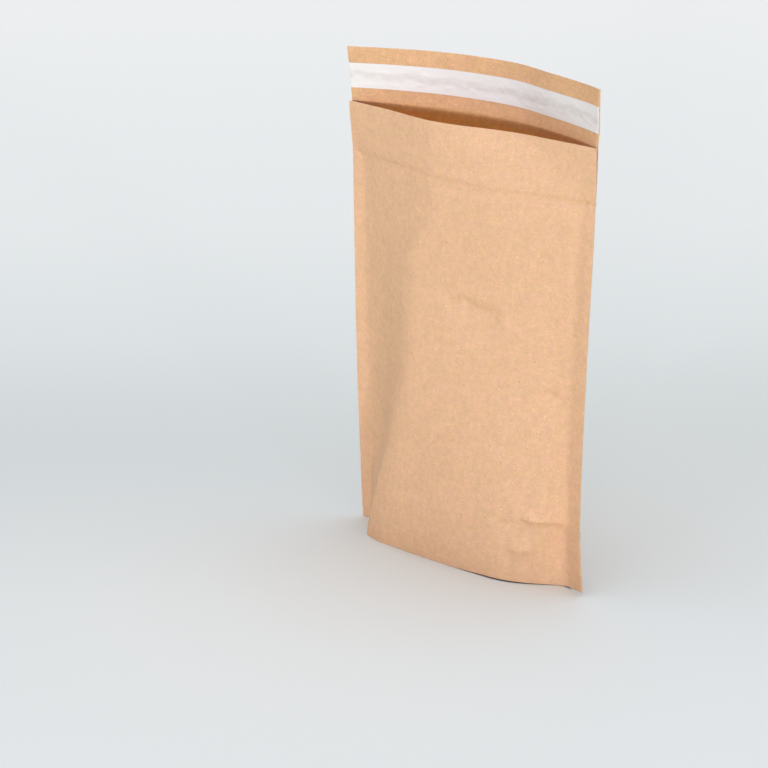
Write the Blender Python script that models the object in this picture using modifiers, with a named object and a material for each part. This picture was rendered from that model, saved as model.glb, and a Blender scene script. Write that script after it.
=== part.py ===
"""Kraft paper courier bag, standing open with its flap up.

One sheet makes the whole bag. It runs down from the flap as the back panel, turns in under the base,
rises to the top of the gusset, comes down again and turns up as the front panel. The two panels are
bonded along both sides in flat flanges. A band of glue and its release liner lie on the flap.

Metres, +Z up. X runs across the bag, the front faces -Y, and the origin is under the middle of the base.
"""
import math

import bpy
from mathutils import Vector

# The sheet
FLAT_WIDTH = 0.300
MOUTH_HEIGHT = 0.402
FLAP_LENGTH = 0.050
GUSSET_LEAF = 0.050
GUSSET_SPREAD = math.radians(53)
SEAM_WIDTH = 0.013
OPEN_SEAM = 0.047
SEAM_TAPER = 0.030
SEAM_TAPER_WIDTH = 0.002
PAPER = 0.0003
PLY_GAP = 0.0003

# The glue and its liner
LINER_BELOW_FLAP_EDGE = 0.015
LINER_WIDTH = 0.023
LINER_THICKNESS = 0.0002
ADHESIVE_WIDTH = 0.012
ADHESIVE_THICKNESS = 0.0002
SEAT_GAP = 0.0003
TRIM_AT_SIDES = 0.0006

# Heights at which the bag's width and bulge are given
LOWER_HEIGHT = 0.110
SEAM_END = MOUTH_HEIGHT - OPEN_SEAM
FLAP_TOP = MOUTH_HEIGHT + FLAP_LENGTH
LEVELS = [0.0, GUSSET_LEAF, LOWER_HEIGHT, MOUTH_HEIGHT / 2, SEAM_END, MOUTH_HEIGHT, FLAP_TOP]
PANEL_LEVELS = LEVELS[:-1]

# How far the bulge draws each side edge in from the flat bag's edge, and the half widths left, at LEVELS
LEFT_DRAWN_IN = [0.0114, 0.0087, 0.0060, 0.0037, 0.0020, 0.0016, 0.0003]
RIGHT_DRAWN_IN = [0.0105, 0.0143, 0.0130, 0.0095, 0.0020, 0.0006, 0.0006]
LEFT_EDGE = [FLAT_WIDTH / 2 - drawn_in for drawn_in in LEFT_DRAWN_IN]
RIGHT_EDGE = [FLAT_WIDTH / 2 - drawn_in for drawn_in in RIGHT_DRAWN_IN]

# How far each panel stands off the plane of the seams, in shares of what the spread gusset gives at the
# base: the back at LEVELS, the front at PANEL_LEVELS
BASE_BULGE = GUSSET_LEAF * math.sin(GUSSET_SPREAD)
BACK_BULGE = [BASE_BULGE * share for share in (1.0, 0.952, 0.902, 0.851, 0.902, 0.952, 1.027)]
FRONT_BULGE = [BASE_BULGE * share for share in (1.0, 0.964, 0.952, 0.851, 0.589, 0.438)]

# Soft folds that run up the front: rounding radius, then at each of PANEL_LEVELS the place between the
# seams, from -1 at the left to 1 at the right, and the share of the front bulge reached there
FRONT_FOLDS = [
    (0.010, [-0.99, -0.95, -0.78, -0.75, -0.80, -0.66], [0.03, 0.04, 0.05, 0.15, 0.45, 0.55]),
    (0.014, [-0.80, -0.69, -0.50, -0.33, -0.27, -0.23], [0.92, 0.99, 1.00, 1.00, 1.00, 1.00]),
    (0.030, [-0.10, 0.00, 0.08, 0.15, 0.10, 0.00], [1.00, 1.00, 0.97, 0.92, 1.00, 0.90]),
    (0.020, [0.62, 0.62, 0.61, 0.60, 0.42, 0.19], [0.86, 0.78, 0.66, 0.55, 0.86, 0.38]),
    (0.008, [0.93, 0.94, 0.95, 0.95, 0.93, 0.45], [0.10, 0.06, 0.06, 0.06, 0.22, 0.08]),
]
SEAM_FOLD_RADIUS = 0.003

# How far the front's free side edges stand forward at the mouth, where the seams are open
LEFT_MOUTH_GAP = 0.0046
RIGHT_MOUTH_GAP = 0.0015

# The front base edge lifts off the ground over this stretch, in shares of the width between the seams
BASE_LIFT = 0.003
LIFT_CENTRE = 0.55
LIFT_REACH = 0.50

# Mesh steps
COLUMNS = 28
COLUMN_CROWDING = 0.6
PANEL_ROWS = 10
TAPER_ROWS = 3
OPEN_SEAM_ROWS = 3
FLAP_ROWS = 3
GUSSET_ROWS = 3

# The table plane trims this much off the folds that the bag stands on
FOOT_TRIM = 0.00004
TABLE_BLOCK = 1.0

PLY_PITCH = PAPER + PLY_GAP
LAYERS_SPREAD_ABOVE_GUSSET = 0.002
LAYERS_MEET_ABOVE_GUSSET = 0.010
BOND_INSET = 0.0008


def smoothstep(t):
    t = min(max(t, 0.0), 1.0)
    return t * t * (3 - 2 * t)


def along(levels, values, z):
    """Monotone cubic through the values given at the levels."""
    z = min(max(z, levels[0]), levels[-1])
    steps = [b - a for a, b in zip(levels, levels[1:])]
    rates = [(b - a) / step for a, b, step in zip(values, values[1:], steps)]
    slopes = [rates[0]]
    for before, after in zip(rates, rates[1:]):
        slopes.append(2 * before * after / (before + after) if before * after > 0 else 0.0)
    slopes.append(rates[-1])
    i = max(k for k in range(len(steps)) if z >= levels[k])
    t = (z - levels[i]) / steps[i]
    rise = (2 * t**3 - 3 * t**2 + 1) * values[i] + (3 * t**2 - 2 * t**3) * values[i + 1]
    return rise + steps[i] * ((t**3 - 2 * t**2 + t) * slopes[i] + (t**3 - t**2) * slopes[i + 1])


def rounded_ramp(t, radius):
    """max(t, 0) with its corner rounded over the radius each way."""
    if t <= -radius:
        return 0.0
    if t >= radius:
        return t
    return (t + radius) ** 2 / (4 * radius)


def flange(z):
    """Width of the bonded flange, which tapers off below the open end of the seams."""
    return SEAM_TAPER_WIDTH + (SEAM_WIDTH - SEAM_TAPER_WIDTH) * smoothstep((SEAM_END - z) / SEAM_TAPER)


def left_edge(z):
    return -along(LEVELS, LEFT_EDGE, z)


def right_edge(z):
    return along(LEVELS, RIGHT_EDGE, z)


def across(share, z):
    """X at a share of the way from the middle to the seam fold on that side."""
    reach = right_edge(z) - flange(z) if share > 0 else -left_edge(z) - flange(z)
    return share * reach


def layer(z):
    """How far a panel's middle stands off the seam plane in the flanges, where the gusset lies between."""
    spread = LAYERS_MEET_ABOVE_GUSSET - LAYERS_SPREAD_ABOVE_GUSSET
    meeting = smoothstep((z - GUSSET_LEAF - LAYERS_SPREAD_ABOVE_GUSSET) / spread)
    return PLY_PITCH * (1.5 - meeting)


def front_chain(z):
    """Corners of the front panel's section at a height, as (x, depth, rounding radius)."""
    bulge = along(PANEL_LEVELS, FRONT_BULGE, z)
    opening = smoothstep((z - SEAM_END) / OPEN_SEAM)
    corners = [(left_edge(z), LEFT_MOUTH_GAP * opening, 0.0)]
    corners.append((across(-1, z) + SEAM_FOLD_RADIUS, LEFT_MOUTH_GAP * opening, SEAM_FOLD_RADIUS))
    for radius, shares, depths in FRONT_FOLDS:
        x = across(along(PANEL_LEVELS, shares, z), z)
        x = min(max(x, corners[1][0] + SEAM_FOLD_RADIUS), across(1, z) - 2 * SEAM_FOLD_RADIUS)
        corners.append((x, bulge * along(PANEL_LEVELS, depths, z), radius))
    corners.append((across(1, z) - SEAM_FOLD_RADIUS, RIGHT_MOUTH_GAP * opening, SEAM_FOLD_RADIUS))
    corners.append((right_edge(z), RIGHT_MOUTH_GAP * opening, 0.0))
    return corners


def front_depth(x, z):
    """How far the front panel stands forward of its layer in the flanges."""
    corners = front_chain(z)
    slopes = [(b[1] - a[1]) / (b[0] - a[0]) for a, b in zip(corners, corners[1:])]
    depth = corners[0][1] + slopes[0] * (x - corners[0][0])
    for before, after, corner in zip(slopes, slopes[1:], corners[1:]):
        depth += (after - before) * rounded_ramp(x - corner[0], corner[2])
    return max(depth, 0.0)


def back_bow(x, z):
    """How far the back panel stands behind its layer in the flanges."""
    share = min(abs(x / across(math.copysign(1, x), z)), 1.0)
    return along(LEVELS, BACK_BULGE, z) * (1 - share**2)


def base_lift(x):
    """Height of the front base edge over the ground."""
    share = x / across(1, 0)
    return BASE_LIFT * smoothstep(1 - abs(share - LIFT_CENTRE) / LIFT_REACH)


def front_y(x, z):
    return -layer(z) - front_depth(x, z)


def back_y(x, z):
    return layer(z) + back_bow(x, z)


def column_x(z):
    """X of each column of the sheet's mesh at a height: the edges, the seam folds and what lies between."""
    shares = []
    for k in range(COLUMNS + 1):
        even = 2 * k / COLUMNS - 1
        crowded = math.sin(math.pi / 2 * even)
        shares.append(even + (crowded - even) * COLUMN_CROWDING)
    return [left_edge(z)] + [across(share, z) for share in shares] + [right_edge(z)]


def even_heights(low, high, count):
    return [low + (high - low) * k / count for k in range(count + 1)]


def panel_heights():
    """Heights of the panels' mesh rows, from just above the base fold to the mouth."""
    gusset = even_heights(0.0, GUSSET_LEAF, GUSSET_ROWS)[1:]
    layers_meet = GUSSET_LEAF + LAYERS_MEET_ABOVE_GUSSET
    spread = [GUSSET_LEAF + LAYERS_SPREAD_ABOVE_GUSSET, layers_meet]
    taper = SEAM_END - SEAM_TAPER
    side = even_heights(layers_meet, taper, PANEL_ROWS)[1:]
    tapered = even_heights(taper, SEAM_END, TAPER_ROWS)[1:]
    return gusset + spread + side + tapered + even_heights(SEAM_END, MOUTH_HEIGHT, OPEN_SEAM_ROWS)[1:]


def sheet_rows():
    """The sheet as rows of points, from the flap's edge round to the front of the mouth."""
    heights = panel_heights()
    foot = PAPER / 2 - FOOT_TRIM
    base_x = column_x(0.0)
    rows = []
    for z in reversed(heights + even_heights(MOUTH_HEIGHT, FLAP_TOP, FLAP_ROWS)[1:]):
        rows.append([Vector((x, back_y(x, z), z)) for x in column_x(z)])
    rows.append([Vector((x, back_y(x, 0.0), foot)) for x in base_x])
    rear_foot = [Vector((x, back_y(x, 0.0) - PLY_PITCH, foot)) for x in base_x]
    front_foot = [Vector((x, front_y(x, 0.0) + PLY_PITCH, foot + base_lift(x))) for x in base_x]
    rear_top, front_top = [], []
    for x, rear, front in zip(column_x(GUSSET_LEAF), rear_foot, front_foot):
        reach = (rear.y - front.y - PLY_PITCH) / 2
        top = math.sqrt(max(GUSSET_LEAF**2 - reach**2, 0.0)) + (rear.z + front.z) / 4
        middle = (rear.y + front.y) / 2
        rear_top.append(Vector((x, middle + PLY_PITCH / 2, top)))
        front_top.append(Vector((x, middle - PLY_PITCH / 2, top)))
    for k in range(GUSSET_ROWS + 1):
        rows.append([a.lerp(b, k / GUSSET_ROWS) for a, b in zip(rear_foot, rear_top)])
    for k in range(GUSSET_ROWS + 1):
        rows.append([a.lerp(b, k / GUSSET_ROWS) for a, b in zip(front_top, front_foot)])
    rows.append([Vector((x, front_y(x, 0.0), foot + base_lift(x))) for x in base_x])
    for z in heights:
        rows.append([Vector((x, front_y(x, z), z)) for x in column_x(z)])
    return rows


def surface(name, rows, thickness, collection):
    """A grid of points as an open surface, thickened evenly both ways."""
    mesh = bpy.data.meshes.new(name)
    across_count = len(rows[0])
    faces = []
    for r in range(len(rows) - 1):
        for c in range(across_count - 1):
            a = r * across_count + c
            faces.append((a, a + 1, a + 1 + across_count, a + across_count))
    mesh.from_pydata([point for row in rows for point in row], [], faces)
    mesh.update()
    thing = bpy.data.objects.new(name, mesh)
    collection.objects.link(thing)
    shell = thing.modifiers.new("thickness", "SOLIDIFY")
    shell.thickness = thickness
    shell.offset = 0.0
    shell.use_even_offset = True
    shell.use_quality_normals = True
    return thing


def material(name, colour, roughness):
    finish = bpy.data.materials.new(name)
    finish.use_nodes = True
    shader = finish.node_tree.nodes["Principled BSDF"]
    shader.inputs["Base Color"].default_value = (*colour, 1.0)
    shader.inputs["Roughness"].default_value = roughness
    shader.inputs["Metallic"].default_value = 0.0
    return finish


def bond(name, side, depth, low, high, cutters):
    """A thin slab that joins two neighbouring plies inside a flange, from mid-ply to mid-ply."""
    edge = left_edge if side < 0 else right_edge
    inner = SEAM_WIDTH - SEAM_FOLD_RADIUS / 2 - BOND_INSET
    rows = []
    for z in even_heights(low, high, PANEL_ROWS):
        outer_x = edge(z) - side * BOND_INSET
        inner_x = edge(z) - side * inner
        rows.append([Vector((x, depth, z)) for x in sorted((outer_x, inner_x))])
    slab = surface(name, rows, PLY_PITCH, cutters)
    slab.hide_render = True
    slab.display_type = "WIRE"
    return slab


def seam_bonds(cutters):
    """The bonds of both side seams: panel to panel above the gusset, and panel to leaf beside it."""
    above = GUSSET_LEAF + LAYERS_MEET_ABOVE_GUSSET + BOND_INSET
    bonds = []
    for word, side in (("left", -1), ("right", 1)):
        bonds.append(bond(word + "_panels", side, 0.0, above, SEAM_END - SEAM_TAPER, cutters))
        for leaf, sign in (("front", -1), ("rear", 1)):
            low, high = 2 * BOND_INSET, GUSSET_LEAF - BOND_INSET
            bonds.append(bond(f"{word}_{leaf}_leaf", side, sign * PLY_PITCH, low, high, cutters))
    return bonds


def table_plane(cutters):
    """A block whose top is the ground, to level the folds that the bag stands on."""
    bpy.ops.mesh.primitive_cube_add(size=TABLE_BLOCK, location=(0, 0, -TABLE_BLOCK / 2))
    block = bpy.context.active_object
    block.name = "table_plane"
    for holder in list(block.users_collection):
        holder.objects.unlink(block)
    cutters.objects.link(block)
    block.hide_render = True
    block.display_type = "WIRE"
    return block


def paper_bag(parts, cutters):
    bag = surface("paper_bag", sheet_rows(), PAPER, parts)
    bag.data.materials.append(material("kraft_paper", (0.80, 0.52, 0.33), 0.85))
    for operation, tools in (("UNION", seam_bonds(cutters)), ("DIFFERENCE", [table_plane(cutters)])):
        for tool in tools:
            step = bag.modifiers.new(tool.name, "BOOLEAN")
            step.operation = operation
            step.solver = "EXACT"
            step.object = tool
    return bag


def flap_point(x, z, distance):
    """A point at a distance in front of the middle of the paper, on the flap's inner side."""
    small = 0.001
    slope = (back_y(x + small, z) - back_y(x - small, z)) / (2 * small)
    step = distance / math.hypot(slope, 1.0)
    return Vector((x + slope * step, back_y(x, z) - step, z))


def flap_band(name, top, width, thickness, distance, parts):
    """A thin band along the flap's inner face, as wide as the bag."""
    rows = []
    for z in even_heights(top - width, top, FLAP_ROWS):
        columns = column_x(z)
        columns[0] += TRIM_AT_SIDES
        columns[-1] -= TRIM_AT_SIDES
        rows.append([flap_point(x, z, distance) for x in columns])
    return surface(name, rows, thickness, parts)


def adhesive_strip(parts):
    top = FLAP_TOP - LINER_BELOW_FLAP_EDGE - (LINER_WIDTH - ADHESIVE_WIDTH) / 2
    distance = PAPER / 2 + SEAT_GAP + ADHESIVE_THICKNESS / 2
    strip = flap_band("adhesive_strip", top, ADHESIVE_WIDTH, ADHESIVE_THICKNESS, distance, parts)
    strip.data.materials.append(material("adhesive", (0.70, 0.62, 0.60), 0.35))
    return strip


def release_liner(parts):
    top = FLAP_TOP - LINER_BELOW_FLAP_EDGE
    distance = PAPER / 2 + ADHESIVE_THICKNESS + 2 * SEAT_GAP + LINER_THICKNESS / 2
    liner = flap_band("release_liner", top, LINER_WIDTH, LINER_THICKNESS, distance, parts)
    liner.data.materials.append(material("liner_paper", (0.84, 0.80, 0.81), 0.45))
    return liner


def centre_over_origin(things):
    """Hangs the pieces from an empty that puts the middle of the bag's bounds over the origin."""
    points = [corner.co for corner in things[0].data.vertices]
    empty = bpy.data.objects.new("bag_frame", None)
    things[0].users_collection[0].objects.link(empty)
    empty.location.x = -(min(p.x for p in points) + max(p.x for p in points)) / 2
    empty.location.y = -(min(p.y for p in points) + max(p.y for p in points)) / 2
    for thing in things:
        thing.parent = empty


def main():
    for thing in list(bpy.data.objects):
        bpy.data.objects.remove(thing, do_unlink=True)
    parts = bpy.data.collections.new("paper_courier_bag")
    cutters = bpy.data.collections.new("cutters")
    for collection in (parts, cutters):
        bpy.context.scene.collection.children.link(collection)
    bag = paper_bag(parts, cutters)
    centre_over_origin([bag, adhesive_strip(parts), release_liner(parts), *cutters.objects])
    bpy.context.view_layer.update()


main()
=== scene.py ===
# Looks of the kraft paper courier bag: one finely creased paper sheet, its glue band and its release liner.
# Metres, +Z up. X runs across the bag, the front faces -Y, and the origin is under the middle of the base.
import math

import bpy
import numpy as np
from mathutils import Matrix, Vector, noise


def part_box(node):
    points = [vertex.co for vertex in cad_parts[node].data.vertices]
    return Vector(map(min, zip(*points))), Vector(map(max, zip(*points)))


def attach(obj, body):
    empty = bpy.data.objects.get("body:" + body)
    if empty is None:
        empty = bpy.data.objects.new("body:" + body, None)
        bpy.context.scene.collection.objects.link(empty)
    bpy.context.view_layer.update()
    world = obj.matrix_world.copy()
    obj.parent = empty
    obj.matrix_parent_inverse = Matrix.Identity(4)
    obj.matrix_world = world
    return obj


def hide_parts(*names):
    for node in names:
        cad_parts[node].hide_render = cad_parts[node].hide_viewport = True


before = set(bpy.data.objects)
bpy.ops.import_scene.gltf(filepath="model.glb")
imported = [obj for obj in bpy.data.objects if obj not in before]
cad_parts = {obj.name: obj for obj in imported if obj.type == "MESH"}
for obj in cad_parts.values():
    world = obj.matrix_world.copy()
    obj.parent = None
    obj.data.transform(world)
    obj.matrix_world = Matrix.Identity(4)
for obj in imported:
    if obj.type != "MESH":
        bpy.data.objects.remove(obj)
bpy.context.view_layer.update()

BAG_LOW, BAG_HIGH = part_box("paper_bag")

# The sheet, mostly as in the solid model
FLAP_TOP = BAG_HIGH.z
FLAP_LENGTH = 0.050
MOUTH_HEIGHT = FLAP_TOP - FLAP_LENGTH
FLAT_WIDTH = 0.300
GUSSET_LEAF = 0.050
GUSSET_SPREAD = math.radians(53)
SEAM_WIDTH = 0.013
OPEN_SEAM = 0.047
SEAM_TAPER = 0.030
SEAM_TAPER_WIDTH = 0.002
PAPER = 0.0003
PLY_PITCH = 0.0004
LOWER_HEIGHT = 0.110
SEAM_END = MOUTH_HEIGHT - OPEN_SEAM
LEVELS = [0.0, GUSSET_LEAF, LOWER_HEIGHT, MOUTH_HEIGHT / 2, SEAM_END, MOUTH_HEIGHT, FLAP_TOP]
LEFT_DRAWN_IN = [0.0114, 0.0087, 0.0060, 0.0037, 0.0020, 0.0016, 0.0003]
RIGHT_DRAWN_IN = [0.0105, 0.0143, 0.0130, 0.0095, 0.0020, 0.0006, 0.0006]
BASE_BULGE = GUSSET_LEAF * math.sin(GUSSET_SPREAD)
BACK_SHARES = [1.0, 0.952, 0.902, 0.851, 0.902, 0.952, 1.027]
BACK_FLATTER = 0.0055
FLATTER_SHARE = 0.50
FLATTER_FROM = 0.385
FLATTER_OVER = 0.050
FRONT_LEVELS = [0.0, GUSSET_LEAF, LOWER_HEIGHT, MOUTH_HEIGHT / 2, 0.270, SEAM_END - 0.020, SEAM_END + 0.020,
                MOUTH_HEIGHT]
FRONT_SHARES = [1.0, 0.964, 0.952, 0.851, 0.745, 0.635, 0.525, 0.438]
FRONT_FOLDS = [
    ([0.010, 0.012, 0.016, 0.020, 0.020, 0.016, 0.012, 0.010],
     [-0.99, -0.93, -0.80, -0.82, -0.81, -0.80, -0.76, -0.66],
     [0.03, 0.04, 0.05, 0.13, 0.18, 0.24, 0.30, 0.44]),
    ([0.003, 0.003, 0.006, 0.014, 0.012, 0.004, 0.003, 0.003],
     [-0.775, -0.655, -0.50, -0.355, -0.33, -0.18, -0.19, -0.245],
     [0.88, 0.88, 0.91, 0.98, 1.00, 1.00, 1.00, 1.00]),
    ([0.007, 0.007, 0.008, 0.010, 0.010, 0.010, 0.010, 0.010],
     [-0.62, -0.51, -0.37, -0.28, -0.26, -0.12, -0.13, -0.18],
     [1.00, 1.00, 1.00, 1.00, 1.00, 1.00, 0.99, 0.975]),
    ([0.030, 0.030, 0.030, 0.030, 0.030, 0.030, 0.030, 0.030],
     [-0.10, 0.00, 0.08, 0.15, 0.14, 0.11, 0.05, 0.00],
     [1.00, 1.00, 0.97, 0.92, 0.95, 0.99, 0.97, 0.90]),
    ([0.020, 0.020, 0.020, 0.020, 0.020, 0.020, 0.020, 0.020],
     [0.62, 0.62, 0.61, 0.60, 0.54, 0.45, 0.32, 0.19],
     [0.86, 0.78, 0.66, 0.55, 0.66, 0.83, 0.68, 0.38]),
    ([0.008, 0.008, 0.008, 0.008, 0.008, 0.008, 0.008, 0.008],
     [0.93, 0.94, 0.95, 0.95, 0.945, 0.935, 0.72, 0.45],
     [0.10, 0.06, 0.06, 0.06, 0.12, 0.19, 0.15, 0.08]),
]
SEAM_FOLD_RADIUS = 0.003
SEAM_FOLD_CLEAR = 0.0002
SEAM_FREES_OVER = 0.010
LEFT_MOUTH_GAP = 0.0034
RIGHT_MOUTH_GAP = 0.0015
BASE_LIFT = 0.0014
LIFT_CENTRE = 0.55
LIFT_REACH = 0.50
LIFT_FADES_AT = 0.017
LAYERS_SPREAD_ABOVE_GUSSET = 0.002
LAYERS_MEET_ABOVE_GUSSET = 0.010

# Where the sheet leans: the flap's ends and the seams
FLAP_CORNER_LEAN = 0.0045
FLAP_CORNER_FROM = 0.05
FLAP_CORNER_OVER = 0.11
FLAP_END_LEAN = 0.0015
FLAP_END_FROM = 0.07
FLAP_END_OVER = 0.08
FLAP_END_RISE = 3
SEAM_LEANS_FROM = 0.118
SEAM_LEAN_MOST = 1.5
SEAM_LEAN = 0.0022
SEAM_FLARE = 0.0021
LOW_SEAM_LEAN = 0.0045
LOW_SEAM_FLARE = 0.0045
LOW_SEAM_RISE = 0.0022
LOW_SEAM_HEIGHT = 0.150
LEFT_SEAM_LEAN = 0.0016

# Unevenness as (squeeze in Z, size, height, seed)
FRONT_WAVES = [(0.6, 0.045, 0.0010, 3.0), (0.7, 0.016, 0.00020, 7.0)]
BACK_WAVES = [(0.6, 0.050, 0.0010, 13.0), (0.7, 0.018, 0.00025, 17.0)]

# Creases as (line of X and Z, height, reach above, reach below, share of the line that fades at each end)
FOLD_LINE = [(-0.1482, 0.3530), (-0.1045, 0.3554), (-0.042, 0.3540), (0.005, 0.3519), (0.0464, 0.3521),
             (0.0867, 0.3530), (0.1480, 0.3533)]
FRONT_CREASES = [
    (FOLD_LINE, -0.0020, 0.0020, 0.0060, 0.02),
    ([(0.086, 0.0625), (0.0979, 0.0605), (0.110, 0.0592), (0.121, 0.0589), (0.1285, 0.060)],
     0.0062, 0.019, 0.0024, 0.25),
    ([(0.062, 0.0532), (0.0677, 0.0539), (0.0827, 0.0562), (0.088, 0.057)],
     -0.0022, 0.003, 0.005, 0.25),
    ([(0.076, 0.030), (0.0849, 0.0314), (0.0976, 0.0334), (0.1101, 0.0502), (0.1152, 0.0563)],
     0.0045, 0.016, 0.007, 0.25),
    ([(-0.003, 0.2450), (0.0014, 0.2466), (0.0216, 0.2520), (0.026, 0.253)],
     -0.0023, 0.0030, 0.010, 0.25),
    ([(0.016, 0.2510), (0.0228, 0.2486), (0.036, 0.2445), (0.0474, 0.2426), (0.062, 0.246)],
     -0.0036, 0.0040, 0.015, 0.25),
    ([(0.030, 0.2235), (0.0353, 0.2242), (0.0497, 0.2266), (0.054, 0.227)],
     -0.0014, 0.004, 0.008, 0.25),
    ([(0.0990, 0.1795), (0.1058, 0.1763), (0.1144, 0.1719), (0.120, 0.169)],
     -0.0032, 0.0045, 0.010, 0.25),
]
BACK_CREASES = [
    (FOLD_LINE, -0.0005, 0.0030, 0.0030, 0.02),
    ([(-0.110, 0.072), (-0.085, 0.078), (-0.060, 0.075)], 0.0018, 0.012, 0.003, 0.25),
    ([(0.040, 0.262), (0.065, 0.270), (0.095, 0.268)], -0.0014, 0.004, 0.012, 0.25),
]
DENT_AT = (0.0715, 0.244)
DENT_REACH = 0.010
DENT_HEIGHT = -0.0018
BASE_CURL = 0.0030
CURL_HEIGHT = 0.034
WAVES_FADE_OVER = 0.020
CREASES_FADE_OVER = 0.005
FLAP_RELIEF = 0.25
FLAP_RELIEF_FROM = MOUTH_HEIGHT + 0.004
FLAP_RELIEF_OVER = 0.02

# The liner and the glue under it
LINER_TOP = FLAP_TOP - 0.015
LINER_WIDTH = 0.023
LINER_THICKNESS = 0.0002
ADHESIVE_WIDTH = 0.012
ADHESIVE_THICKNESS = 0.0002
TRIM_AT_SIDES = 0.0006
LINER_GAP = 0.0001
ADHESIVE_GAP = 0.00003
LINER_SETTLES_OVER = 0.004
LINER_BUBBLES = [(2.2, 0.013, 0.0007, 23.0), (1.6, 0.005, 0.0003, 29.0)]
LOOSE_EDGE = [(0.3, 0.030, 0.0002, 31.0)]
LOOSE_EDGE_LIFT = 0.0001
LINER_STEPS = (26, 300)
ADHESIVE_STEPS = (6, 200)

# Mesh steps
TOOTH_PITCH = 0.0016
TOOTH_DEPTH = 0.0007
FLANGE_COLUMNS = 4
INNER_COLUMNS = 100
COLUMN_CROWDING = 0.3
BACK_ROW = 3 * TOOTH_PITCH
FLAP_ROW = 2 * TOOTH_PITCH
LEAF_ROWS = 16
FOLD_HEIGHT = 0.0008
FOLD_STEPS = 5
SLOPE_STEP = 0.001
NEAR = 1e-6
SHARP_FROM = math.radians(50)
INNER_UV_SHIFT = 7.0

# Colours
KRAFT_OUTSIDE = (0.835, 0.520, 0.335)
KRAFT_INSIDE = (0.80, 0.478, 0.278)
# Painted shade: below the mouth and away from the sides, the inside colour is multiplied by this deeper, more
# orange tint
INSIDE_PAINTED_SHADE = (1.20, 1.02, 0.54)
PAINTED_SHADE_FULL_BELOW_MOUTH = 0.010
PAINTED_SHADE_ENDS_ABOVE_MOUTH = 0.003
PAINTED_SHADE_REACH = 0.140
PAINTED_SHADE_FADES_OVER = 0.02
SPECK = (0.30, 0.135, 0.070)
CUT_EDGE_DARK = (0.74, 0.53, 0.38)
CUT_EDGE_PALE = (0.92, 0.78, 0.66)
LINER_WHITE = (0.88, 0.855, 0.90)
LINER_OVER_GLUE = (0.775, 0.74, 0.765)
GLUE_DARK = (0.66, 0.58, 0.55)
GLUE_PALE = (0.76, 0.68, 0.64)

# The photograph's camera
CAMERA_AT = Vector((1.6094, -1.6891, 0.8933))
CAMERA_HEADING = math.radians(45.503)
CAMERA_DOWN = math.radians(17.414)
CAMERA_ROLL = math.radians(-0.3685)
SENSOR = 36.0
FOCAL_SHARE = 2700 / 768
FARTHEST_SEEN = 200.0

# Light and floor
KEY_AZIMUTHS = [math.radians(9), math.radians(36), math.radians(64)]
KEY_HEIGHT = math.radians(2)
KEY_SPREAD = math.radians(5)
KEY_STRENGTH = 0.685
KEY_COLOUR = (1.0, 0.985, 0.965)
SKY_COLOUR = (0.97, 0.985, 1.0)
SKY_LOW = 0.10
SKY_OVERHEAD = 1.72
SKY_RISES_FROM = 0.66
SKY_FULL_AT = 0.90
SKY_BEHIND = 0.35
SKY_BEHIND_FROM = 0.1
SKY_BEHIND_TO = 0.9
SKY_LEFT = 0.40
SKY_LEFT_FROM = -0.2
SKY_LEFT_TO = -0.95
FLOOR_SIZE = 60.0
FLOOR_TONES_FROM = -1.0
FLOOR_TONES_TO = 3.0
# Floor tones along the depth away from the camera; the dark stop just behind the bag is a painted shadow
FLOOR_TONES_WITH_PAINTED_SHADOW = [(0.0, (0.91, 0.935, 0.945)), (0.22, (0.90, 0.925, 0.935)), (0.32, (0.69, 0.725, 0.73)),
               (0.42, (0.84, 0.87, 0.875)), (0.56, (0.91, 0.935, 0.935)), (1.0, (0.865, 0.89, 0.90))]
# Painted shade: floor colours that only light rays meet, dark brown near the bag, to darken and brown the
# bag's low front
BOUNCE_NEAR = (0.19, 0.125, 0.03)
BOUNCE_FAR = (0.69, 0.71, 0.56)
BOUNCE_REACH = 0.45


def smoothstep(t):
    t = np.clip(t, 0.0, 1.0)
    return t * t * (3 - 2 * t)


def along(levels, values, z):
    """Monotone cubic through the values given at the levels."""
    z = min(max(z, levels[0]), levels[-1])
    steps = [b - a for a, b in zip(levels, levels[1:])]
    rates = [(b - a) / step for a, b, step in zip(values, values[1:], steps)]
    slopes = [rates[0]]
    for before, after in zip(rates, rates[1:]):
        slopes.append(2 * before * after / (before + after) if before * after > 0 else 0.0)
    slopes.append(rates[-1])
    i = max(k for k in range(len(steps)) if z >= levels[k])
    t = (z - levels[i]) / steps[i]
    rise = (2 * t**3 - 3 * t**2 + 1) * values[i] + (3 * t**2 - 2 * t**3) * values[i + 1]
    return rise + steps[i] * ((t**3 - 2 * t**2 + t) * slopes[i] + (t**3 - t**2) * slopes[i + 1])


def rounded_ramp(t, radius):
    """max(t, 0) with its corner rounded over the radius each way."""
    bend = (np.clip(t, -radius, radius) + radius) ** 2 / (4 * max(radius, NEAR))
    return np.where(t > radius, t, bend)


def flange(z):
    """Width of the seam, rounded off at its upper end."""
    below = min(max((SEAM_END - z) / SEAM_TAPER, 0.0), 1.0)
    return SEAM_TAPER_WIDTH + (SEAM_WIDTH - SEAM_TAPER_WIDTH) * math.sqrt(1 - (1 - below)**2)


def left_edge(z):
    return along(LEVELS, LEFT_DRAWN_IN, z) - FLAT_WIDTH / 2


def right_edge(z):
    return FLAT_WIDTH / 2 - along(LEVELS, RIGHT_DRAWN_IN, z)


def across(share, z):
    """X at a share of the way from the middle to the seam fold on that side."""
    reach = right_edge(z) - flange(z) if share > 0 else -left_edge(z) - flange(z)
    return share * reach


def layer(z):
    """How far a panel's middle stands off the seam plane in the flanges, where the gusset lies between."""
    spread = LAYERS_MEET_ABOVE_GUSSET - LAYERS_SPREAD_ABOVE_GUSSET
    return PLY_PITCH * (1.5 - smoothstep((z - GUSSET_LEAF - LAYERS_SPREAD_ABOVE_GUSSET) / spread))


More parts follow.
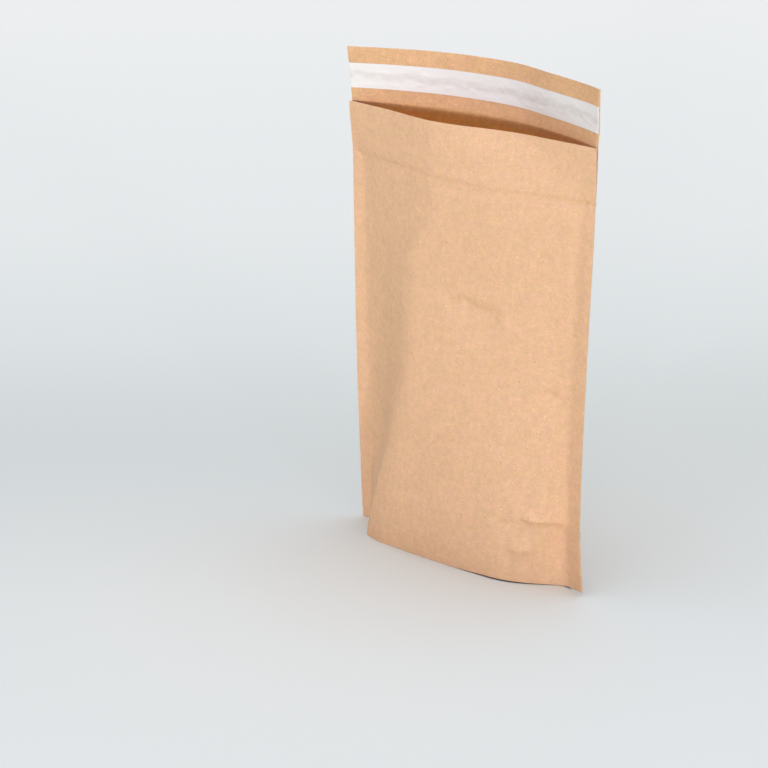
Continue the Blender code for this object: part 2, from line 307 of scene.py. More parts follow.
def front_chain(z):
    """Corners of the front panel's section at a height, as (x, depth, rounding radius)."""
    bulge = BASE_BULGE * along(FRONT_LEVELS, FRONT_SHARES, z)
    opening = smoothstep((z - SEAM_END) / OPEN_SEAM)
    seam = (flange(z) + SEAM_FOLD_RADIUS) * (1 - smoothstep((z - SEAM_END) / SEAM_FREES_OVER))
    seam += SEAM_FOLD_CLEAR
    corners = [(left_edge(z), LEFT_MOUTH_GAP * opening, 0.0)]
    corners.append((left_edge(z) + seam, LEFT_MOUTH_GAP * opening, SEAM_FOLD_RADIUS))
    for radii, shares, depths in FRONT_FOLDS:
        x = across(along(FRONT_LEVELS, shares, z), z)
        x = min(max(x, corners[1][0] + SEAM_FOLD_RADIUS), right_edge(z) - seam - SEAM_FOLD_RADIUS)
        corners.append((x, bulge * along(FRONT_LEVELS, depths, z), along(FRONT_LEVELS, radii, z)))
    corners.append((right_edge(z) - seam, RIGHT_MOUTH_GAP * opening, SEAM_FOLD_RADIUS))
    corners.append((right_edge(z), RIGHT_MOUTH_GAP * opening, 0.0))
    return corners


def front_depth(x, z):
    """How far the front panel stands forward of its layer in the flanges, for the X's of one row."""
    corners = front_chain(z)
    slopes = [(b[1] - a[1]) / (b[0] - a[0]) for a, b in zip(corners, corners[1:])]
    depth = corners[0][1] + slopes[0] * (x - corners[0][0])
    for before, after, corner in zip(slopes, slopes[1:], corners[1:]):
        depth = depth + (after - before) * rounded_ramp(x - corner[0], corner[2])
    return np.maximum(depth, 0.0)


def back_bow(x, z):
    """How far the back panel stands behind its layer in the flanges, for the X's of one row."""
    reach = np.where(x > 0, across(1, z), -across(-1, z))
    share = np.minimum(np.abs(x) / reach, 1.0)
    flatter = np.where(x > 0, np.sin(math.pi * share) * smoothstep(share / FLATTER_SHARE), 0.0)
    flatter = flatter * smoothstep((z - FLATTER_FROM) / FLATTER_OVER)
    return BASE_BULGE * along(LEVELS, BACK_SHARES, z) * (1 - share**2) - BACK_FLATTER * flatter


def base_lift(x):
    """Height of the front base edge over the ground."""
    share = x / across(1, 0)
    return BASE_LIFT * smoothstep(1 - np.abs(share - LIFT_CENTRE) / LIFT_REACH)


def column_x(z):
    """X of each column of the sheet's mesh at a height: the flanges' columns and what lies between them."""
    even = np.linspace(-1, 1, INNER_COLUMNS + 1)
    shares = even + (np.sin(math.pi / 2 * even) - even) * COLUMN_CROWDING
    inner = np.where(shares > 0, shares * across(1, z), -shares * across(-1, z))
    steps = np.arange(FLANGE_COLUMNS) / FLANGE_COLUMNS
    tooth = TOOTH_DEPTH if z < SEAM_END else 0.0
    left = left_edge(z) + tooth + (flange(z) - tooth) * steps
    right = right_edge(z) - tooth - (flange(z) - tooth) * steps
    return np.concatenate([left, inner, right[::-1]])


# Creases and dents of the panels

def line_distance(x, z, line):
    """Signed distance to a line that runs to the right, positive above it, and the share along it."""
    best = np.full(x.shape, np.inf)
    signed = np.zeros(x.shape)
    share = np.zeros(x.shape)
    total = sum(math.dist(a, b) for a, b in zip(line, line[1:]))
    before = 0.0
    for (ax, az), (bx, bz) in zip(line, line[1:]):
        dx, dz = bx - ax, bz - az
        length = math.hypot(dx, dz)
        t = np.clip(((x - ax) * dx + (z - az) * dz) / length**2, 0.0, 1.0)
        gap = np.hypot(x - ax - t * dx, z - az - t * dz)
        side = np.sign(dx * (z - az) - dz * (x - ax))
        nearer = gap < best
        best = np.where(nearer, gap, best)
        signed = np.where(nearer, gap * side, signed)
        share = np.where(nearer, (before + t * length) / total, share)
        before += length
    return signed, share


def crease(x, z, line, height, above, below, fade):
    """A sharp bend along a line, standing out by the height and dying away over a distance on each side."""
    gap, share = line_distance(x, z, line)
    ends = smoothstep(share / fade) * smoothstep((1 - share) / fade)
    return height * ends * np.where(gap > 0, np.exp(-gap / above), np.exp(gap / below))


def dent(x, z, centre, reach, height):
    """A soft round swelling, or a dent where the height is negative."""
    a = (x - centre[0]) / reach
    b = (z - centre[1]) / reach
    return height * np.exp(-(a**2 + b**2))


def waves(x, z, size, height, seed):
    """Soft random unevenness of about the given size."""
    out = np.empty(x.shape)
    flat = out.ravel()
    for i, (a, b) in enumerate(zip(x.ravel(), z.ravel())):
        flat[i] = noise.noise(Vector((a / size, b / size, seed)))
    return height * flat.reshape(x.shape)


def unevenness(x, z, kinds):
    """The sum of several waves, each squeezed in Z by its own share."""
    return sum(waves(x, z * squeeze, size, height, seed) for squeeze, size, height, seed in kinds)


def panel_mask(x, z, edge):
    """1 on the open panel, falling to 0 at the flanges."""
    left = np.array([across(-1, h) for h in z[:, 0]])[:, None]
    right = np.array([across(1, h) for h in z[:, 0]])[:, None]
    return smoothstep((x - left) / edge) * smoothstep((right - x) / edge)


def front_relief(x, z):
    """How far the front's creases and dents stand out, beyond its soft folds."""
    soft = unevenness(x, z, FRONT_WAVES)
    t = z / CURL_HEIGHT
    soft += BASE_CURL * t * np.exp(1 - t)
    sharp = sum(crease(x, z, *kind) for kind in FRONT_CREASES)
    sharp += dent(x, z, DENT_AT, DENT_REACH, DENT_HEIGHT)
    return soft * panel_mask(x, z, WAVES_FADE_OVER) + sharp * panel_mask(x, z, CREASES_FADE_OVER)


def back_relief(x, z):
    """How far the back's creases and dents stand out, which is less on the flap."""
    soft = unevenness(x, z, BACK_WAVES)
    sharp = sum(crease(x, z, *kind) for kind in BACK_CREASES)
    low = smoothstep((FLAP_RELIEF_FROM - z) / FLAP_RELIEF_OVER) * (1 - FLAP_RELIEF) + FLAP_RELIEF
    return (soft * panel_mask(x, z, WAVES_FADE_OVER) + sharp * panel_mask(x, z, CREASES_FADE_OVER)) * low


def leans(grid):
    """Moves the flap's ends and the seams, all layers alike, to where they lean."""
    moved = grid.copy()
    x, z = grid[:, :, 0], grid[:, :, 2]
    up = np.clip((z - MOUTH_HEIGHT) / FLAP_LENGTH, 0.0, 1.0)
    moved[:, :, 1] -= FLAP_CORNER_LEAN * up * smoothstep((-x - FLAP_CORNER_FROM) / FLAP_CORNER_OVER)
    end = smoothstep((x - FLAP_END_FROM) / FLAP_END_OVER)
    moved[:, :, 1] += FLAP_END_LEAN * smoothstep(up * FLAP_END_RISE) * end
    low = smoothstep((LOW_SEAM_HEIGHT - z) / LOW_SEAM_HEIGHT)
    seam = smoothstep((SEAM_END - z) / SEAM_TAPER)
    right = np.clip((x - SEAM_LEANS_FROM) / SEAM_WIDTH, 0.0, SEAM_LEAN_MOST)
    moved[:, :, 1] -= (SEAM_LEAN * seam + LOW_SEAM_LEAN * low) * right
    moved[:, :, 0] += (SEAM_FLARE * seam + LOW_SEAM_FLARE * low) * right
    moved[:, :, 2] += LOW_SEAM_RISE * low * right
    fold = np.array([left_edge(h) + flange(h) for h in z[:, 0]])[:, None]
    left = LEFT_SEAM_LEAN * seam * np.clip((fold - x) / SEAM_WIDTH, 0.0, 1.0)
    moved[:, :, 1] -= left
    moved[:, :, 0] += left
    return moved


# The sheet's mesh

def even_heights(low, high, pitch):
    count = max(round((high - low) / pitch), 1)
    return [low + (high - low) * k / count for k in range(count + 1)]


def panel_surface(heights, side):
    """A panel's points, row by row from the lowest height up. Side is -1 at the front and 1 at the back."""
    x = np.array([column_x(h) for h in heights])
    z = np.repeat(np.array(heights)[:, None], x.shape[1], 1)
    stand_off = front_depth if side < 0 else back_bow
    relief = front_relief if side < 0 else back_relief
    y = np.array([layer(h) + stand_off(row, h) for row, h in zip(x, heights)]) + relief(x, z)
    if side < 0:
        z = z + base_lift(x) * np.clip(1 - z / LIFT_FADES_AT, 0.0, 1.0)
    return np.stack([x, side * y, z], 2)


def bezier(points, steps):
    """Rows of points along a cubic Bezier, both ends included."""
    a, b, c, d = points
    rows = []
    for k in range(steps + 1):
        t = k / steps
        rows.append(a * (1 - t)**3 + b * 3 * t * (1 - t)**2 + c * 3 * t**2 * (1 - t) + d * t**3)
    return rows


def at(points, y=None, z=None):
    """The same points with another Y or Z."""
    moved = points.copy()
    if y is not None:
        moved[:, 1] = y
    if z is not None:
        moved[:, 2] = z
    return moved


def sheet_rows():
    """The middle of the sheet as rows of points, from the flap's edge round to the front of the mouth."""
    back_heights = even_heights(FOLD_HEIGHT, SEAM_END, BACK_ROW)
    back_heights += even_heights(SEAM_END, FLAP_TOP, FLAP_ROW)[1:]
    back = panel_surface(back_heights, 1)
    front_heights = even_heights(FOLD_HEIGHT, SEAM_END, TOOTH_PITCH)
    front_heights += even_heights(SEAM_END, MOUTH_HEIGHT, TOOTH_PITCH)[1:]
    front = panel_surface(front_heights, -1)
    foot = PAPER / 2
    # The controls of a base fold lie at this height, so that the middle of its curve lies at the foot
    turn = (foot - FOLD_HEIGHT / 4) / 0.75
    lift = base_lift(front[0][:, 0])
    rear_foot = at(back[0], back[0][:, 1] - PLY_PITCH, foot)
    front_foot = at(front[0], front[0][:, 1] + PLY_PITCH, foot + lift)
    reach = (rear_foot[:, 1] - front_foot[:, 1] - PLY_PITCH) / 2
    top = np.sqrt(np.maximum(GUSSET_LEAF**2 - reach**2, 0.0)) + (rear_foot[:, 2] + front_foot[:, 2]) / 4
    apex_x = column_x(GUSSET_LEAF)
    middle = (rear_foot[:, 1] + front_foot[:, 1]) / 2
    rear_top = np.stack([apex_x, middle + PLY_PITCH / 2, top], 1)
    front_top = np.stack([apex_x, middle - PLY_PITCH / 2, top], 1)
    rise = FOLD_HEIGHT / GUSSET_LEAF

    def on_rear(t):
        return rear_foot + (rear_top - rear_foot) * t

    def on_front(t):
        return front_foot + (front_top - front_foot) * t

    start = ((FOLD_HEIGHT - foot) / (top - foot))[:, None]
    back_fold = bezier([back[0], at(back[0], z=turn), at(back[0], rear_foot[:, 1], turn), on_rear(start)],
                       FOLD_STEPS)
    front_fold = bezier([on_front(start), at(front[0], front_foot[:, 1], turn + lift),
                         at(front[0], z=turn + lift), front[0]], FOLD_STEPS)
    apex_fold = bezier([on_rear(1 - rise), on_rear(1 + rise / 3), on_front(1 + rise / 3), on_front(1 - rise)],
                       FOLD_STEPS)
    rows = list(back[::-1]) + back_fold[1:]
    for k in range(1, LEAF_ROWS + 1):
        rows.append(on_rear(start + (1 - rise - start) * k / LEAF_ROWS))
    rows += apex_fold[1:]
    for k in range(1, LEAF_ROWS + 1):
        rows.append(on_front((1 - rise) + (start - (1 - rise)) * k / LEAF_ROWS))
    rows += front_fold[1:]
    rows += list(front[1:])
    return np.array(rows)


def grid_normals(grid):
    """Unit normals of the grid, on the bag's inner side."""
    down = np.gradient(grid, axis=0)
    side = np.gradient(grid, axis=1)
    normals = np.cross(down, side)
    return normals / np.maximum(np.linalg.norm(normals, axis=2, keepdims=True), 1e-12)


class Sheet:
    """The middle surface of a paper piece as points, normals, UV and faces, before it is thickened."""

    def __init__(self, grid):
        self.rows, self.columns = grid.shape[:2]
        self.points = list(grid.reshape(-1, 3))
        self.normals = list(grid_normals(grid).reshape(-1, 3))
        run = np.linalg.norm(np.diff(grid[:, self.columns // 2], axis=0), axis=1)
        v = np.concatenate([[0.0], np.cumsum(run)])
        across_run = np.linalg.norm(np.diff(grid, axis=1), axis=2)
        u = np.concatenate([np.zeros((self.rows, 1)), np.cumsum(across_run, 1)], 1)
        u = u - u[:, self.columns // 2][:, None]
        self.uv = list(np.stack([u, np.repeat(v[:, None], self.columns, 1)], 2).reshape(-1, 2))
        self.faces = []

    def add(self, point, normal, uv):
        self.points.append(point)
        self.normals.append(normal)
        self.uv.append(uv)
        return len(self.points) - 1

    def at(self, row, column):
        return row * self.columns + column


def plain_faces(sheet, first, last):
    """Quads between two columns of the grid."""
    for r in range(sheet.rows - 1):
        for c in range(first, last):
            corners = ((r, c), (r, c + 1), (r + 1, c + 1), (r + 1, c))
            sheet.faces.append(tuple(sheet.at(row, column) for row, column in corners))


def pinked_edge(sheet, outer, inner, side):
    """The strip along one edge of the sheet, with pinked teeth where the sides are sealed."""
    for r in range(sheet.rows - 1):
        a, b = sheet.at(r, outer), sheet.at(r + 1, outer)
        low = min(sheet.points[a][2], sheet.points[b][2])
        high = max(sheet.points[a][2], sheet.points[b][2])
        length = float(np.linalg.norm(sheet.points[b] - sheet.points[a]))
        sealed = high <= SEAM_END + NEAR and low >= FOLD_HEIGHT - NEAR
        count = round(length / TOOTH_PITCH) if sealed else 0
        stops = [a]
        for k in range(1, count):
            t = k / count
            between = [x[a] * (1 - t) + x[b] * t for x in (sheet.points, sheet.normals, sheet.uv)]
            stops.append(sheet.add(*between))
        stops.append(b)
        strip = [*stops, sheet.at(r + 1, inner), sheet.at(r, inner)]
        teeth = []
        for p, q in zip(stops, stops[1:]):
            if count:
                tip = (sheet.points[p] + sheet.points[q]) / 2 + np.array([side * TOOTH_DEPTH, 0, 0])
                tip_uv = (sheet.uv[p] + sheet.uv[q]) / 2 + np.array([side * TOOTH_DEPTH, 0])
                teeth.append((p, sheet.add(tip, sheet.normals[p], tip_uv), q))
        for face in [strip, *teeth]:
            sheet.faces.append(tuple(face) if side > 0 else tuple(reversed(face)))


def thickened(name, sheet, thickness, materials):
    """A closed mesh from a sheet: outer faces, inner faces and the cut rim, one material for each."""
    points = np.array(sheet.points)
    normals = np.array(sheet.normals)
    count = len(points)
    both = np.concatenate([points - normals * thickness / 2, points + normals * thickness / 2])
    directed = {(a, b) for face in sheet.faces for a, b in zip(face, face[1:] + face[:1])}
    rim = [(b, a, a + count, b + count) for a, b in directed if (b, a) not in directed]
    rim.sort()
    inner = [tuple(i + count for i in reversed(face)) for face in sheet.faces]
    faces = sheet.faces + inner + rim
    mesh = bpy.data.meshes.new(name)
    mesh.from_pydata([tuple(p) for p in both], [], faces)
    kinds = [0] * len(sheet.faces) + [1] * len(inner) + [2] * len(rim)
    mesh.polygons.foreach_set("material_index", kinds)
    mesh.polygons.foreach_set("use_smooth", [kind < 2 for kind in kinds])
    uv = np.array(sheet.uv)
    uv = np.concatenate([uv, uv + INNER_UV_SHIFT])
    corners = np.empty(len(mesh.loops), np.int32)
    mesh.loops.foreach_get("vertex_index", corners)
    layer_uv = mesh.uv_layers.new(name="sheet")
    layer_uv.data.foreach_set("uv", uv[corners].astype(np.float32).ravel())
    for finish in materials:
        mesh.materials.append(finish)
    mesh.set_sharp_from_angle(angle=SHARP_FROM)
    mesh.update()
    thing = bpy.data.objects.new(name, mesh)
    bpy.context.scene.collection.objects.link(thing)
    return thing


def over_frame(grid):
    """Moves the sheet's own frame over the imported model's, by the middle of the bag's box."""
    moved = leans(grid)
    moved[:, :, 0] += FRAME_SHIFT.x
    moved[:, :, 1] += FRAME_SHIFT.y
    return moved


def frame_shift():
    """What carries the seams' plane and the sheet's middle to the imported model's axes."""
    middle = (BAG_LOW + BAG_HIGH) / 2
    widest = [left_edge(FLAP_TOP), max(right_edge(h) for h in LEVELS)]
    rear = layer(FLAP_TOP) + BASE_BULGE * BACK_SHARES[-1] + PAPER / 2
    return Vector((middle.x - sum(widest) / 2, BAG_HIGH.y - rear, 0.0))


FRAME_SHIFT = frame_shift()


# Materials

class Nodes:
    """Shorthand for the node tree of a material or of the world."""

    def __init__(self, owner, shader="Principled BSDF"):
        self.owner = owner
        owner.use_nodes = True
        self.tree = owner.node_tree
        self.shader = self.tree.nodes[shader]

    def add(self, kind, inputs=(), **settings):
        made = self.tree.nodes.new("ShaderNode" + kind)
        for key, value in settings.items():
            setattr(made, key, value)
        for key, value in dict(inputs).items():
            self.put(made.inputs[key], value)
        return made

    def put(self, socket, value):
        if isinstance(value, bpy.types.NodeSocket):
            self.tree.links.new(value, socket)
        else:
            socket.default_value = value

    def maths(self, operation, *values):
        made = self.add("Math", operation=operation)
        for socket, value in zip(made.inputs, values):
            self.put(socket, value)
        return made.outputs[0]

    def band(self, value, low, high, to_low=0.0, to_high=1.0, smooth=False):
        made = self.add("MapRange", {"Value": value, "From Min": low, "From Max": high,
                                     "To Min": to_low, "To Max": to_high},
                        interpolation_type="SMOOTHSTEP" if smooth else "LINEAR")
        return made.outputs["Result"]

    def mix(self, factor, a, b, blend="MIX"):
        made = self.add("Mix", data_type="RGBA", blend_type=blend)
        self.put(made.inputs["Factor"], factor)
        self.put(made.inputs[6], a)
        self.put(made.inputs[7], b)
        return made.outputs[2]

    def noise(self, vector, scale, detail=2.0, roughness=0.5):
        made = self.add("TexNoise", {"Vector": vector, "Scale": scale, "Detail": detail,
                                     "Roughness": roughness})
        return made.outputs["Fac"]

    def stretched(self, vector, x, y, turn=0.0):
        made = self.add("Mapping", {"Vector": vector, "Scale": (x, y, 1.0), "Rotation": (0.0, 0.0, turn)})
        return made.outputs["Vector"]

    def sheet_uv(self):
        return self.add("UVMap", uv_map="sheet").outputs["UV"]

    def bump(self, height, distance):
        made = self.add("Bump", {"Height": height, "Strength": 1.0, "Distance": distance})
        self.put(self.shader.inputs["Normal"], made.outputs["Normal"])


def fibres(n, uv, turn, length, width, seed):
    """Short curved fibres: 1 on a fibre and 0 beside it."""
    warp = n.noise(uv, 160.0, 1.0)
    bent = n.add("VectorMath", {"Vector": uv}, operation="ADD")
    sideways = n.maths("MULTIPLY", warp, 0.004)
    upward = n.maths("MULTIPLY", warp, -0.003)
    shift = n.add("CombineXYZ", {"X": sideways, "Y": upward, "Z": seed}).outputs[0]
    n.put(bent.inputs[1], shift)
    turned = n.stretched(bent.outputs[0], 1.0, 1.0, turn)
    cells = n.add("TexVoronoi", {"Vector": n.stretched(turned, 1 / length, 1 / width), "Scale": 1.0,
                                 "Randomness": 1.0}, voronoi_dimensions="3D", feature="F1")
    return n.band(cells.outputs["Distance"], 0.34, 0.16)


def spots(n, uv, scale, share, reach):
    """Round spots, one in some of the cells of a grid: 1 on a spot and 0 beside it."""
    cells = n.add("TexVoronoi", {"Vector": uv, "Scale": scale}, feature="F1")
    chosen = n.maths("LESS_THAN", n.add("SeparateColor", {"Color": cells.outputs["Color"]}).outputs[0], share)
    return n.maths("MULTIPLY", n.band(cells.outputs["Distance"], reach, reach * 0.6), chosen)


def kraft(name, colour, mottle, shade_below_mouth=(1.0, 1.0, 1.0)):
    """Brown kraft paper with clouds, fibres, specks and a fine tooth. It may carry painted shade below the
    mouth, a deeper and more orange brown.
    """
    n = Nodes(bpy.data.materials.new(name))
    uv = n.sheet_uv()
    cloud = n.band(n.noise(uv, 170.0, detail=4.0, roughness=0.66), 0.34, 0.66, -1.0, 1.0)
    patch = n.band(n.noise(uv, 62.0, detail=3.0, roughness=0.60), 0.32, 0.68, -1.0, 1.0)
    hue = n.band(n.noise(uv, 105.0, detail=3.0, roughness=0.6), 0.34, 0.66)
    streak = n.band(n.noise(n.stretched(uv, 330.0, 60.0), 1.0), 0.3, 0.7, -1.0, 1.0)
    grain = n.band(n.noise(uv, 620.0, roughness=0.7), 0.3, 0.7, -1.0, 1.0)
    pale = n.maths("ADD", fibres(n, uv, turn=0.5, length=0.0026, width=0.00060, seed=1.7),
                   fibres(n, uv, turn=2.1, length=0.0022, width=0.00055, seed=5.2))
    dark = fibres(n, uv, turn=1.2, length=0.0020, width=0.00045, seed=9.4)
    fleck = spots(n, uv, scale=200.0, share=0.30, reach=0.24)
    tone = n.maths("MULTIPLY", cloud, 0.046)
    layers = ((patch, 0.026), (streak, 0.004), (grain, 0.060), (pale, 0.050), (fleck, 0.095), (dark, -0.080))
    for value, amount in layers:
        tone = n.maths("ADD", tone, n.maths("MULTIPLY", value, amount))
    tone = n.maths("ADD", n.maths("MULTIPLY", tone, mottle), 0.985)
    tint = n.mix(hue, (colour[0] * 0.985, colour[1] * 1.014, colour[2] * 0.955, 1.0),
                 (colour[0] * 1.012, colour[1] * 0.986, colour[2] * 1.045, 1.0))
    bright = n.add("HueSaturation", {"Color": tint, "Value": tone}).outputs["Color"]
    place = n.add("SeparateXYZ", {"Vector": n.add("TexCoord").outputs["Object"]}).outputs
    # Painted shade: below the mouth and away from the sides, the colour is multiplied by a deeper, more
    # orange tint
    shade_ends_at = MOUTH_HEIGHT + PAINTED_SHADE_ENDS_ABOVE_MOUTH
    above = n.band(place["Z"], MOUTH_HEIGHT - PAINTED_SHADE_FULL_BELOW_MOUTH, shade_ends_at, smooth=True)
    beside_shade = n.band(n.maths("ABSOLUTE", place["X"]), PAINTED_SHADE_REACH - PAINTED_SHADE_FADES_OVER, PAINTED_SHADE_REACH)
    unshaded = n.maths("MAXIMUM", above, beside_shade)
    body = n.mix(1.0, bright, n.mix(unshaded, (*shade_below_mouth, 1.0), (1.0, 1.0, 1.0, 1.0)), "MULTIPLY")
    speck = n.maths("MULTIPLY", spots(n, uv, scale=75.0, share=0.16, reach=0.060), 0.55)
    n.put(n.shader.inputs["Base Color"], n.mix(speck, body, (*SPECK, 1.0)))
    n.put(n.shader.inputs["Roughness"], n.band(cloud, -1.0, 1.0, 0.88, 0.78))
    n.shader.inputs["Specular IOR Level"].default_value = 0.30
    height = n.maths("ADD", n.maths("MULTIPLY", grain, 0.35), n.maths("MULTIPLY", pale, 0.5))
    height = n.maths("ADD", height, n.maths("MULTIPLY", cloud, 0.8))
    n.bump(height, distance=0.00004)
    return n.owner


def cut_edge():
    """The pale fibrous edge where the paper is cut."""
    n = Nodes(bpy.data.materials.new("kraft_cut_edge"))
    fleck = n.noise(n.sheet_uv(), 1800.0, roughness=0.6)
    n.put(n.shader.inputs["Base Color"], n.mix(fleck, (*CUT_EDGE_DARK, 1.0), (*CUT_EDGE_PALE, 1.0)))
    n.shader.inputs["Roughness"].default_value = 0.95
    n.shader.inputs["Specular IOR Level"].default_value = 0.2
    return n.owner


def liner_finish():
    """White siliconised paper, slightly glossy, a little darker where the glue shows through."""
    n = Nodes(bpy.data.materials.new("liner_paper"))
    uv = n.sheet_uv()
    down = n.maths("MODULO", n.add("SeparateXYZ", {"Vector": uv}).outputs["Y"], INNER_UV_SHIFT)
    wander = n.band(n.noise(n.stretched(uv, 45.0, 10.0), 1.0, detail=3.0), 0.3, 0.7, -0.0022, 0.0022)
    off_middle = n.maths("ABSOLUTE", n.maths("SUBTRACT", n.maths("ADD", down, wander), LINER_WIDTH / 2))
    band = n.band(off_middle, 0.0046, 0.0020)
    blotch = n.band(n.noise(n.stretched(uv, 90.0, 260.0), 1.0, detail=3.0, roughness=0.65), 0.40, 0.60)
    glue = n.maths("MULTIPLY", band, n.maths("ADD", n.maths("MULTIPLY", blotch, 0.55), 0.45))
    n.put(n.shader.inputs["Base Color"], n.mix(glue, (*LINER_WHITE, 1.0), (*LINER_OVER_GLUE, 1.0)))
    n.put(n.shader.inputs["Roughness"], n.band(blotch, 0.0, 1.0, 0.42, 0.52))
    n.shader.inputs["Specular IOR Level"].default_value = 0.45
    n.bump(n.noise(uv, 900.0), distance=0.00002)
    return n.owner


def adhesive_finish():
    """Tacky hot-melt glue, glossy and a little uneven."""
    n = Nodes(bpy.data.materials.new("adhesive"))
    ripple = n.noise(n.stretched(n.sheet_uv(), 60.0, 700.0), 1.0)
    n.put(n.shader.inputs["Base Color"], n.mix(ripple, (*GLUE_DARK, 1.0), (*GLUE_PALE, 1.0)))
    n.put(n.shader.inputs["Roughness"], n.band(ripple, 0.3, 0.7, 0.22, 0.38))
    n.bump(ripple, distance=0.00006)
    return n.owner


# Pieces

def courier_bag_sheet():
    grid = over_frame(sheet_rows())
    sheet = Sheet(grid)
    plain_faces(sheet, 1, sheet.columns - 2)
    pinked_edge(sheet, 0, 1, -1)
    pinked_edge(sheet, sheet.columns - 1, sheet.columns - 2, 1)
    outside = kraft("kraft_outside", KRAFT_OUTSIDE, mottle=1.15)
    # The inside carries painted shade below the mouth
    inside = kraft("kraft_inside", KRAFT_INSIDE, mottle=1.5, shade_below_mouth=INSIDE_PAINTED_SHADE)
    finishes = [outside, inside, cut_edge()]
    bag = thickened("courier_bag_sheet", sheet, PAPER, finishes)
    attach(bag, "root")
    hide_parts("paper_bag")
    return bag


def flap_grid(top, width, steps, distance):
    """Points in front of the flap's inner face, off it by a function of X and the height below the top."""
    rows = []
    for r in range(steps[0] + 1):
        z = top - width * r / steps[0]
        x = np.linspace(left_edge(z) + TRIM_AT_SIDES, right_edge(z) - TRIM_AT_SIDES, steps[1] + 1)
        heights = np.full((1, len(x)), z)
        bow = []
        for beside in (x - SLOPE_STEP, x, x + SLOPE_STEP):
            bow.append(layer(z) + back_bow(beside, z) + back_relief(beside[None, :], heights)[0])
        slope = (bow[2] - bow[0]) / (2 * SLOPE_STEP)
        step = distance(x, top - z) / np.hypot(slope, 1.0)
        rows.append(np.stack([x + slope * step, bow[1] - step, np.full(len(x), z)], 1))
    return np.array(rows)


def liner_stand_off(x, down):
    """How far the middle of the liner stands off the middle of the flap's paper."""
    seat = PAPER / 2 + ADHESIVE_THICKNESS + LINER_THICKNESS / 2 + LINER_GAP
    off_middle = abs(down - LINER_WIDTH / 2)
    on_glue = float(smoothstep((ADHESIVE_WIDTH / 2 + LINER_SETTLES_OVER - off_middle) / LINER_SETTLES_OVER))
    heights = np.full(len(x), down)
    bubbles = unevenness(x, heights, LINER_BUBBLES)
    loose_edge = unevenness(x, heights, LOOSE_EDGE) + LOOSE_EDGE_LIFT
    return seat + np.maximum(bubbles, 0.0) * on_glue + np.maximum(loose_edge, 0.0) * (1 - on_glue)


def adhesive_stand_off(x, down):
    """How far the middle of the glue stands off the middle of the flap's paper, the same all over."""
    return np.full(len(x), PAPER / 2 + ADHESIVE_THICKNESS / 2 + ADHESIVE_GAP)


def release_liner_band():
    grid = over_frame(flap_grid(LINER_TOP, LINER_WIDTH, LINER_STEPS, liner_stand_off))
    sheet = Sheet(grid)
    plain_faces(sheet, 0, sheet.columns - 1)
    liner = thickened("release_liner_band", sheet, LINER_THICKNESS, [liner_finish()] * 3)
    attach(liner, "root")
    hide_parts("release_liner")
    return liner


def adhesive_band():
    top = LINER_TOP - (LINER_WIDTH - ADHESIVE_WIDTH) / 2
    grid = over_frame(flap_grid(top, ADHESIVE_WIDTH, ADHESIVE_STEPS, adhesive_stand_off))
    sheet = Sheet(grid)
    plain_faces(sheet, 0, sheet.columns - 1)
    band = thickened("adhesive_band", sheet, ADHESIVE_THICKNESS, [adhesive_finish()] * 3)
    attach(band, "root")
    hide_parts("adhesive_strip")
    return band


# Stage

def pale_floor():
    """A wide level floor with a painted shadow: a band just behind the bag is darker than near it and far
    away.
    """
    bpy.ops.mesh.primitive_plane_add(size=FLOOR_SIZE, location=(0, 0, 0))
    floor = bpy.context.active_object
    floor.name = "floor"
    n = Nodes(bpy.data.materials.new("pale_floor"))
    place = n.add("TexCoord").outputs["Object"]
    behind = n.add("VectorMath", {0: place, 1: (-math.sin(CAMERA_HEADING), math.cos(CAMERA_HEADING), 0.0)},
                   operation="DOT_PRODUCT").outputs["Value"]
    # Painted shadow: the floor darkens in a band just behind the bag
    tone = n.add("ValToRGB", {"Fac": n.band(behind, FLOOR_TONES_FROM, FLOOR_TONES_TO)})
    ramp = tone.color_ramp
    ramp.interpolation = "B_SPLINE"
    for share, colour in FLOOR_TONES_WITH_PAINTED_SHADOW:
        stop = ramp.elements.new(share) if share not in (0.0, 1.0) else ramp.elements[int(share)]
        stop.color = (*colour, 1.0)
    path = n.add("LightPath").outputs
    through = n.maths("MAXIMUM", path["Is Glossy Ray"], path["Is Transmission Ray"])
    seen = n.maths("MAXIMUM", path["Is Camera Ray"], through)
    # Painted shade on the bag: light rays meet a floor that is dark brown near the bag and paler farther off,
    # which darkens and browns the bag's low front; the camera and reflections meet the floor's own tones
    away = n.add("VectorMath", {0: place}, operation="LENGTH").outputs["Value"]
    bounce = n.mix(n.band(away, 0.0, BOUNCE_REACH, smooth=True), (*BOUNCE_NEAR, 1.0), (*BOUNCE_FAR, 1.0))
    n.put(n.shader.inputs["Base Color"], n.mix(seen, bounce, tone.outputs["Color"]))
    n.shader.inputs["Roughness"].default_value = 0.9
    n.shader.inputs["Specular IOR Level"].default_value = 0.1
    floor.data.materials.append(n.owner)


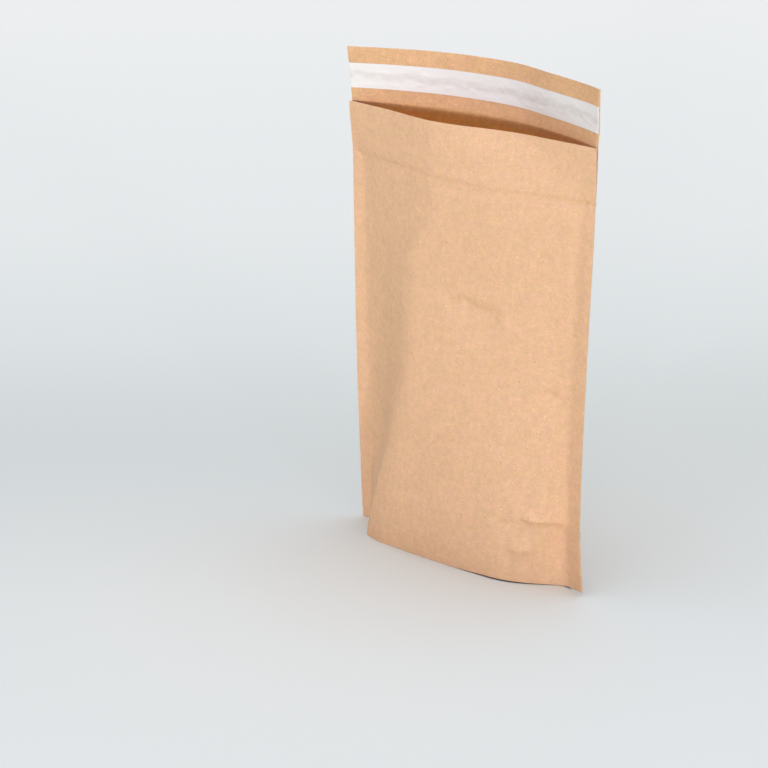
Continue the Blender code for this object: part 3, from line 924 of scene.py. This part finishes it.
def soft_light():
    """Three soft suns, low in front and on the right, and a sky that is bright only overhead."""
    for azimuth in KEY_AZIMUTHS:
        away = Vector((math.sin(azimuth) * math.cos(KEY_HEIGHT), -math.cos(azimuth) * math.cos(KEY_HEIGHT),
                       math.sin(KEY_HEIGHT)))
        lamp = bpy.data.lights.new("window_light", "SUN")
        lamp.angle = KEY_SPREAD
        lamp.energy = KEY_STRENGTH * math.pi / len(KEY_AZIMUTHS)
        lamp.color = KEY_COLOUR
        window = bpy.data.objects.new("window_light", lamp)
        window.rotation_mode = "QUATERNION"
        window.rotation_quaternion = away.to_track_quat("Z", "Y")
        bpy.context.scene.collection.objects.link(window)
    world = bpy.data.worlds.new("overhead_sky")
    bpy.context.scene.world = world
    n = Nodes(world, "Background")
    way = n.add("SeparateXYZ", {"Vector": n.add("TexCoord").outputs["Generated"]}).outputs
    overhead = n.band(way["Z"], SKY_RISES_FROM, SKY_FULL_AT, SKY_LOW, SKY_OVERHEAD, smooth=True)
    behind = n.band(way["Y"], SKY_BEHIND_FROM, SKY_BEHIND_TO, 0.0, SKY_BEHIND, smooth=True)
    left = n.band(way["X"], SKY_LEFT_FROM, SKY_LEFT_TO, 0.0, SKY_LEFT, smooth=True)
    light = n.maths("ADD", n.maths("ADD", overhead, behind), left)
    # The camera sees the sky in the tone of the floor's far end
    seen = n.add("LightPath").outputs["Is Camera Ray"]
    n.put(n.shader.inputs["Color"], n.mix(seen, (*SKY_COLOUR, 1.0), (*FLOOR_TONES_WITH_PAINTED_SHADOW[-1][1], 1.0)))
    unseen = n.maths("SUBTRACT", 1.0, seen)
    n.put(n.shader.inputs["Strength"], n.maths("ADD", n.maths("MULTIPLY", light, unseen), seen))


def camera():
    data = bpy.data.cameras.new("photo_camera")
    data.sensor_width = SENSOR
    data.lens = FOCAL_SHARE * SENSOR
    data.clip_end = FARTHEST_SEEN
    eye = bpy.data.objects.new("photo_camera", data)
    turn = Matrix.Rotation(CAMERA_HEADING, 4, "Z") @ Matrix.Rotation(math.pi / 2 - CAMERA_DOWN, 4, "X")
    turn = turn @ Matrix.Rotation(CAMERA_ROLL, 4, "Z")
    eye.matrix_world = Matrix.Translation(CAMERA_AT) @ turn
    bpy.context.scene.collection.objects.link(eye)
    bpy.context.scene.camera = eye


courier_bag_sheet()
release_liner_band()
adhesive_band()
pale_floor()
soft_light()
camera()
bpy.context.scene.view_settings.view_transform = "Standard"
